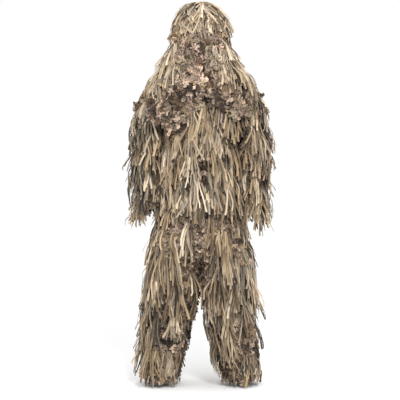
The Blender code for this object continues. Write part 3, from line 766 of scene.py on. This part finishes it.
def make_leg(side):
    leg, k = LEG.side(side), SIDES[side]
    thigh = cloth_tube("thigh_cloth_" + side, leg, None, (0.845, 0.600), CAMO, rows=44, seed=21 + k)
    finish_piece(thigh, bend=hip_bend(side), stands_for=["thigh_" + side])
    shin = cloth_tube("shin_cloth_" + side, leg, None, (0.604, 0.112), CAMO, rows=90, seed=31 + k)
    finish_piece(shin, bend=knee_bend(side), stands_for=["shin_" + side])
    node = f"ankle_{side}_band"
    ankle = gathered_band("ankle_gathers_" + side, node, pleats=44, depth=0.004)
    finish_piece(ankle, "shin_leg_" + side, stands_for=[node])

    leaves = leaf_piece("thigh_leaves_" + side, *scatter(leg, ALL_ROUND, (0.83, 0.585), 1100),
                        TROUSER_LEAF, lie=0.15, brightness=TROUSER_PAINTED_SHADE)
    finish_piece(leaves, bend=hip_bend(side))
    leaves = leaf_piece("shin_leaves_" + side, *scatter(leg, ALL_ROUND, (0.60, 0.11), 1500),
                        TROUSER_LEAF, brightness=TROUSER_PAINTED_SHADE)
    finish_piece(leaves, bend=knee_bend(side))
    make_leg_strips(side, leg)


def make_leg_strips(side, leg):
    """The tufts of one leg, which cover other arcs on the wearer's left than on the right."""
    arcs = {"left": dict(thigh=(-62, 208), shin=(-60, 236), ankle=(-20, 210)),
            "right": dict(thigh=(4, 208), shin=(-52, 215), ankle=(-60, 250))}
    arc = {part: side_arc(given, side) for part, given in arcs[side].items()}

    strips = tuft_strips(
        "hip_tufts_" + side, SEAT, side_arc((18, 162), side), (0.905, 0.865), spacing=0.048, per=13,
        length=(0.13, 0.23), mix=LEG_MIX, fan=0.15, out=(0.05, 0.35), reach=0.040, limp=0.22)
    finish_piece(strips, bend=hip_bend(side))
    strips = tuft_strips(
        "thigh_tufts_" + side, leg, arc["thigh"], (0.825, 0.75, 0.675), spacing=0.048, per=14,
        length=(0.15, 0.27), mix=LEG_MIX, fan=0.17, out=(0.05, 0.45), reach=0.044, limp=0.22,
        keep=patchy, paint=leg_tones)
    finish_piece(strips, bend=hip_bend(side), stands_for=["thigh_strips_" + side])
    strips = tuft_strips(
        "shin_tufts_" + side, leg, arc["shin"], (0.59, 0.515, 0.44, 0.365, 0.30), spacing=0.054,
        per=14, length=(0.13, 0.21), mix=LEG_MIX, out=(0.1, 0.9), reach=0.062, keep=patchy)
    finish_piece(strips, bend=knee_bend(side), stands_for=["shin_strips_" + side])
    strips = tuft_strips(
        "ankle_tufts_" + side, leg, arc["ankle"], (0.25, 0.20, 0.16), spacing=0.050, per=12,
        length=(0.09, 0.15), mix=LEG_MIX, out=(0.1, 0.5), reach=0.026)
    finish_piece(strips, "shin_leg_" + side)


# ---------------------------------------------------------------- jacket
def make_jacket():
    zip_edge = 4.6    # the angle of each edge of the opening that the zip fills
    torso = cloth_tube("torso_cloth", TORSO, (zip_edge, 360 - zip_edge), (1.515, 0.880), CAMO,
                       rows=90, columns=130, fold=0.004, seed=41)
    finish_piece(torso, "jacket",
                 stands_for=["jacket_front_left", "jacket_front_right", "jacket_back"])
    hem = gathered_band("hem_gathers", "jacket_hem_band", pleats=80)
    finish_piece(hem, "jacket", stands_for=["jacket_hem_band"])
    collar = gathered_band("collar_cloth", "collar", pleats=12, depth=0.0015)
    finish_piece(collar, "jacket", stands_for=["collar"])
    leaves = leaf_piece("torso_leaves", *scatter(TORSO, (6, 354), (1.43, 0.92), 1500), NET_LEAF,
                        brightness=JACKET_PAINTED_SHADE)
    finish_piece(leaves, "jacket")
    make_mantle()
    make_torso_strips()


def bell(x, middle, width):
    return np.exp(-(((x - middle) / width) ** 2))


def mantle_low(x):
    """The height of the mantle's lower edge across the front.

    It hangs in a deep lobe over the right chest and a smaller one over the left, and is cut higher
    in the middle.
    """
    lobes = 0.105 * bell(x, -0.135, 0.08) + 0.055 * bell(x, 0.175, 0.06)
    return 1.405 - lobes + 0.035 * bell(x, 0.01, 0.045)


def make_mantle():
    """The leaf-cut net over the chest and back, in two halves at the front."""
    for name, arc, node, count, width in (
        ("left", (5, 64), "mantle_front_left", 560, 0.16),
        ("right", (-64, -5), "mantle_front_right", 640, 0.16),
        ("back", (116, 244), "mantle_back", 1000, 0.30),
    ):
        net = cloth_tube("mantle_net_" + name, MANTLE, arc, (1.535, 1.380), DARK_NET_AND_GAP_SHADE, rows=26,
                         columns=46, fold=0.007, seed=51)
        roots, normals = scatter(MANTLE, arc, (1.53, 1.30), count, out=0.002)
        low = mantle_low(roots[:, 0]) if name != "back" else 1.36
        kept = roots[:, 2] > low - WAIST
        leaves = leaf_piece("mantle_leaves_" + name, roots[kept], normals[kept], NET_LEAF,
                            brightness=0.80)
        finish_piece(net, "jacket", stands_for=[node])
        finish_piece(leaves, "jacket")


def chest_gap(knots):
    """The strips leave a patch of leaves bare over the left ribs, and start higher in the middle."""
    x, height = knots[:, 0], knots[:, 2] + WAIST
    bare = (np.abs(x - 0.125) < 0.035) & (np.abs(height - 1.29) < 0.06)
    return ~bare & ((height < mantle_low(x) + 0.02) | (np.abs(x - 0.01) < 0.07))


def belly_tones(knots, tones):
    """A few dark tufts hang down the middle of the jacket."""
    x, height = knots[:, 0], knots[:, 2] + WAIST
    dark = (np.abs(x - 0.035) < 0.045) & (height < 1.26) & (rng.random(len(x)) < 0.65)
    return np.where(dark[:, None], linear(SLATE) * 1.1, tones)


def make_torso_strips():
    style = dict(spacing=0.060, per=20, fan=0.20, reach=0.052)
    for name, arc in (("left", (4, 84)), ("right", (-84, -4))):
        strips = tuft_strips(
            "chest_tufts_" + name, TORSO, arc, (1.44, 1.365, 1.29, 1.215, 1.14, 1.065),
            length=(0.15, 0.24), mix=DRY_MIX, keep=chest_gap, paint=belly_tones, **style)
        nodes = ["front_upper_strips_" + name, "front_lower_strips_" + name]
        finish_piece(strips, "jacket", stands_for=nodes)
        strips = tuft_strips("hem_tufts_" + name, TORSO, arc, (1.00, 0.955), length=(0.09, 0.14),
                             mix=DRY_MIX, **style)
        finish_piece(strips, "jacket", stands_for=["hem_strips_front_" + name])
    rear = (96, 264)
    strips = tuft_strips("back_tufts", TORSO, rear, (1.40, 1.32, 1.24, 1.16, 1.08),
                         length=(0.14, 0.22), mix=DUSK_MIX, **style)
    nodes = ["back_upper_strips", "back_lower_strips"]
    finish_piece(strips, "jacket", stands_for=nodes)
    strips = tuft_strips("hem_tufts_back", TORSO, rear, (1.01, 0.955), length=(0.09, 0.15),
                         mix=DUSK_MIX, **style)
    finish_piece(strips, "jacket", stands_for=["hem_strips_back"])


def make_sleeve(side):
    arm, columns = ARM.side(side), 56
    upper = cloth_tube("shoulder_cloth_" + side, arm, None, (1.484, 1.300), CAMO, rows=34,
                       columns=columns, seed=61)
    finish_piece(upper, bend=shoulder_bend(side), stands_for=["sleeve_upper_" + side])
    lower = cloth_tube("sleeve_cloth_" + side, arm, None, (1.304, 0.928), CAMO, rows=60,
                       columns=columns, seed=71)
    finish_piece(lower, bend=elbow_bend(side), stands_for=["sleeve_lower_" + side])
    node = f"cuff_{side}_band"
    cuff = gathered_band("cuff_gathers_" + side, node, pleats=34)
    finish_piece(cuff, "forearm_" + side, stands_for=[node])

    roots, normals = scatter(arm, side_arc((-50, 230), side), (1.43, 1.33), 180)
    leaves = leaf_piece("shoulder_leaf_net_" + side, roots, normals, NET_LEAF, lie=0.06,
                        brightness=0.84)
    nodes = ["shoulder_leaves_" + side]
    finish_piece(leaves, bend=shoulder_bend(side), stands_for=nodes)
    leaves = leaf_piece("sleeve_leaves_" + side, *scatter(arm, ALL_ROUND, (1.30, 0.905), 700),
                        TROUSER_LEAF, brightness=JACKET_PAINTED_SHADE)
    finish_piece(leaves, bend=elbow_bend(side))
    make_sleeve_strips(side, arm)


def make_sleeve_strips(side, arm):
    """The tufts of one sleeve, which is darker on the wearer's right below the shoulder."""
    style = dict(mix=DUSK_MIX if side == "right" else DRY_MIX, reach=0.062, fan=0.34, limp=0.12)
    outer = side_arc((-38, 218), side)
    strips = tuft_strips(
        "shoulder_tufts_" + side, arm, outer, (1.465, 1.425, 1.38), spacing=0.046, per=15,
        length=(0.10, 0.16), out=(0.0, 0.4), mix=DRY_MIX, reach=0.034, fan=0.28)
    nodes = ["sleeve_upper_strips_" + side]
    finish_piece(strips, bend=shoulder_bend(side), stands_for=nodes)
    strips = tuft_strips(
        "sleeve_tufts_" + side, arm, outer, (1.335, 1.27, 1.205, 1.14, 1.075, 1.01), spacing=0.048,
        per=13, length=(0.11, 0.18), out=(0.2, 1.0), **style)
    nodes = ["sleeve_lower_strips_" + side]
    finish_piece(strips, bend=elbow_bend(side), stands_for=nodes)
    strips = tuft_strips(
        "cuff_tufts_" + side, arm, side_arc((10, 170), side), (0.965, 0.935), spacing=0.040, per=13,
        length=(0.10, 0.16), out=(0.2, 0.9), **style)
    finish_piece(strips, "forearm_" + side, stands_for=["cuff_strips_" + side])


# ---------------------------------------------------------------- hood and veil
def make_hood():
    style = dict(fold=0.003, seed=81)
    dome = cloth_tube("hood_cloth", HOOD, (36, 324), (1.824, 1.552), CAMO, rows=44, columns=90,
                      **style)
    finish_piece(dome, "hood", stands_for=["hood_shell"])
    brow = cloth_tube("hood_brow", HOOD, (-37, 37), (1.824, 1.668), CAMO, rows=22, columns=26,
                      **style)
    finish_piece(brow, "hood")
    neck = cloth_tube("neck_cloth", NECK, (55, 305), (1.58, 1.50), CAMO, rows=16, columns=70,
                      fold=0.004, seed=83)
    finish_piece(neck, bend=bend_between("jacket", "hood", (0, 1.505), (0, 1.575)))
    make_hood_strips()
    make_veil()


def make_hood_strips():
    """Thatch over the crown, and tufts from there down to the shoulders."""
    for name, tube, bundles, per, start, length, lift, nodes in (
        ("crown_filling", HOOD, 80, 10, (0.0, 0.10), (0.10, 0.15), (0.004, 0.030), ["hood_strips"]),
        ("crown_strips", CROWN, 110, 7, (0.0, 0.16), (0.06, 0.12), (-0.012, 0.014), []),
        ("crown_tip", CROWN, 24, 6, (-0.035, 0.0), (0.06, 0.11), (0.0, 0.010), []),
        ("crown_wisps", CROWN, 26, 2, (0.03, 0.17), (0.04, 0.08), (0.006, 0.026), []),
    ):
        strips = combed_strips(name, tube, bundles, per, start=start, length=length, lift=lift)
        finish_piece(strips, "hood", stands_for=nodes)
    nape = bend_between("jacket", "hood", (0, 1.500), (0, 1.600))
    for name, arc, bend in (
        ("left", (40, 115), None), ("right", (245, 320), None), ("back", (115, 245), nape),
    ):
        tufts = tuft_strips(
            "hood_tufts_" + name, HOOD, arc, (1.745, 1.695, 1.645, 1.595), spacing=0.048, per=15,
            length=(0.11, 0.18), mix=HOOD_MIX, lift=(0.004, 0.034), out=(0.1, 0.7), reach=0.046)
        finish_piece(tufts, "hood", bend)
    for side in SIDES:
        cape = tuft_strips(
            "hood_cape_" + side, HOOD, side_arc((52, 128), side), (1.555, 1.52), spacing=0.045,
            per=14, length=(0.09, 0.15), mix=DRY_MIX, out=(0.1, 0.5), reach=0.030)
        finish_piece(cape, bend=shoulder_bend(side))


def make_veil():
    """The leaf-cut net that hangs from the brow over the face and the throat."""
    net = cloth_tube("veil_net", VEIL, (-46, 46), (1.700, 1.465), DARK_NET_AND_GAP_SHADE, rows=34, columns=44, seed=91)
    roots, normals = scatter(VEIL, (-50, 50), (1.705, 1.46), 600, out=0.002)
    leaves = leaf_piece("veil_leaves", roots, normals, NET_LEAF)
    finish_piece(net, "veil", stands_for=["face_veil"])
    finish_piece(leaves, "veil")
    strips = tuft_strips(
        "veil_tufts", VEIL, (28, 50), (1.665, 1.60, 1.54), spacing=0.035, per=14,
        length=(0.10, 0.16), mix=HOOD_MIX, out=(0.1, 0.4), reach=0.035)
    finish_piece(strips, "veil")


# ---------------------------------------------------------------- studio
def make_floor():
    reach = 12.0
    corners = np.array([[-reach, -reach, FLOOR], [reach, -reach, FLOOR], [reach, reach, FLOOR],
                        [-reach, reach, FLOOR]])
    look = Nodes("floor_look", 0.95)
    look.shader.inputs["Base Color"].default_value = (0.99, 0.99, 0.99, 1)
    floor = add_mesh("studio_floor", corners, [[0, 1, 2, 3]], look.material, smooth=False)


def add_light(name, place, size, power):
    """A square lamp that faces the origin."""
    lamp = bpy.data.lights.new(name, "AREA")
    lamp.size, lamp.energy = size, power
    light = bpy.data.objects.new(name, lamp)
    light.location = place
    light.rotation_euler = Vector(-x for x in place).to_track_quat("-Z", "Y").to_euler()
    bpy.context.scene.collection.objects.link(light)


def add_camera():
    """A camera in front of the suit, which sees view_width from side to side at the origin."""
    distance, view_width, sensor = 4.75, 1.90, 36.0
    lens = bpy.data.cameras.new("camera")
    lens.sensor_width, lens.lens = sensor, sensor * distance / view_width
    camera = bpy.data.objects.new("camera", lens)
    camera.location = (-0.002, -distance, -0.094)
    camera.rotation_euler = (math.pi / 2, 0, 0)
    bpy.context.scene.collection.objects.link(camera)
    bpy.context.scene.camera = camera


def make_studio():
    make_floor()
    world = bpy.data.worlds.new("studio")
    world.use_nodes = True
    background = world.node_tree.nodes["Background"]
    background.inputs["Color"].default_value = (1, 1, 1, 1)
    background.inputs["Strength"].default_value = 1.0
    bpy.context.scene.world = world
    bpy.context.scene.view_settings.view_transform = "Standard"
    add_light("key", (0.8, -3.8, 2.6), 1.0, 124)
    add_light("fill", (-2.6, -3.2, 1.2), 2.2, 20)
    add_camera()


make_studio()
make_seat()
make_jacket()
for side_name in SIDES:
    make_leg(side_name)
    make_sleeve(side_name)
make_hood()
